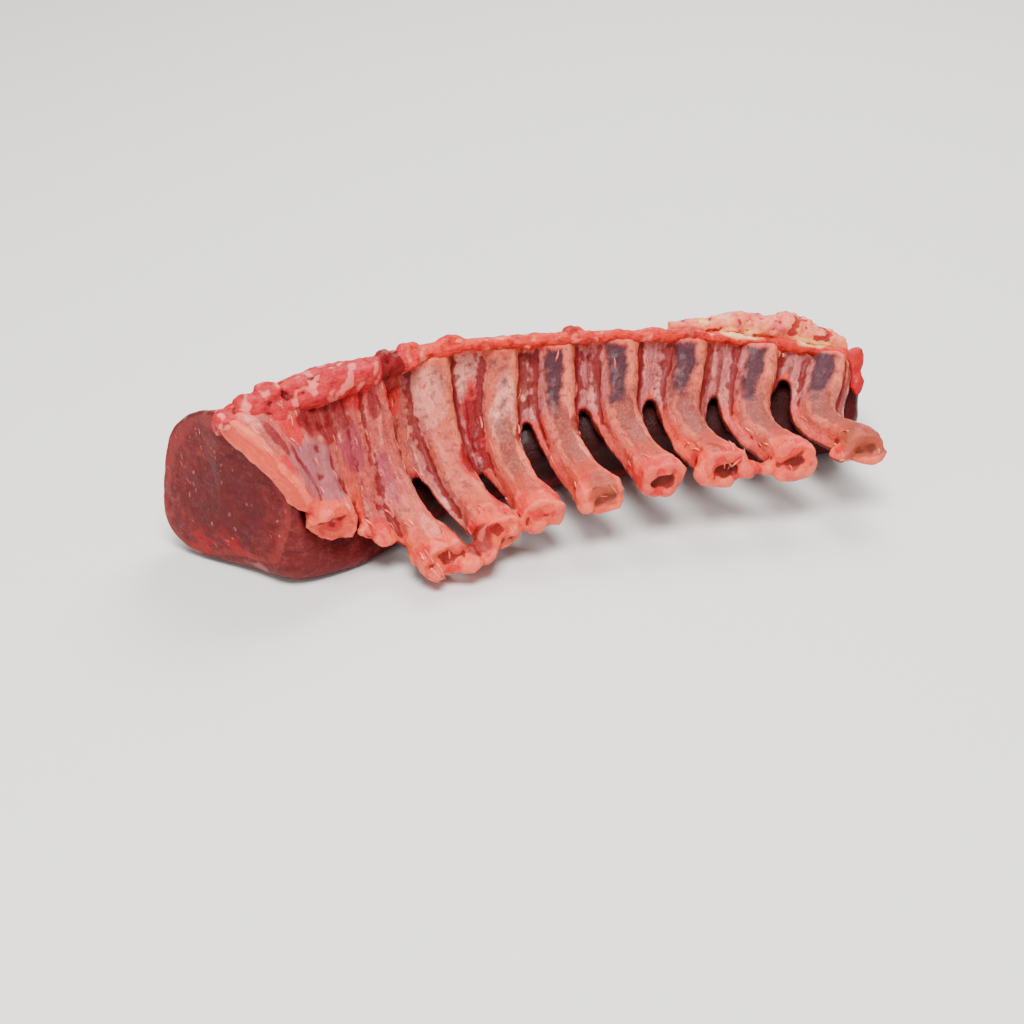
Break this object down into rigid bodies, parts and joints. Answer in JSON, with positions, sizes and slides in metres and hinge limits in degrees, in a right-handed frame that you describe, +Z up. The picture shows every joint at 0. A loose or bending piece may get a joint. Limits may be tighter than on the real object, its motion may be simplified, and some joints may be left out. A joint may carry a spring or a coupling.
{
  "type": "rack of lamb",
  "caption": "Raw rack of lamb lying on its loin, with cleaned curved rib bones, meat and membrane between them, a cut loin eye and a trimmed chine edge.",
  "frame": {"origin": "centre of the rack's outline, on the surface it lies on", "axes": "+X along the rack from the cut loin face to the far end, +Y from the rib tips back to the chine, +Z up"},
  "size_m": [0.2389, 0.0842, 0.0581],
  "materials": {
    "loin_eye": "moist raw lean lamb, dark red",
    "rib_sheet": "moist pink membrane over meat",
    "chine_strip": "moist bright red trimmed meat with a salmon fat rim",
    "chine_fat": "pale pink fat",
    "rib_1": "moist pink-tan bone under thin membrane",
    "rib_2": "moist pink-tan bone under thin membrane",
    "rib_3": "moist pink-tan bone under thin membrane",
    "rib_4": "moist pink-tan bone under thin membrane",
    "rib_5": "moist pink-tan bone under thin membrane",
    "rib_6": "moist pink-tan bone under thin membrane",
    "rib_7": "moist pink-tan bone under thin membrane",
    "rib_8": "moist pink-tan bone under thin membrane",
    "rib_9": "moist pink-tan bone under thin membrane",
    "tip_scrap_1": "moist scrap of meat and fat",
    "tip_scrap_2": "moist scrap of meat and fat"
  },
  "bodies": {
    "root": {"loin_eye": "loin_eye", "rib_sheet": "rib_sheet", "chine_strip": "chine_strip", "chine_fat": "chine_fat", "rib_1": "rib_1", "rib_2": "rib_2", "rib_3": "rib_3", "rib_4": "rib_4", "rib_5": "rib_5", "rib_6": "rib_6", "rib_7": "rib_7", "rib_8": "rib_8", "rib_9": "rib_9", "tip_scrap_1": "tip_scrap_1", "tip_scrap_2": "tip_scrap_2"}
  },
  "joints": []
}
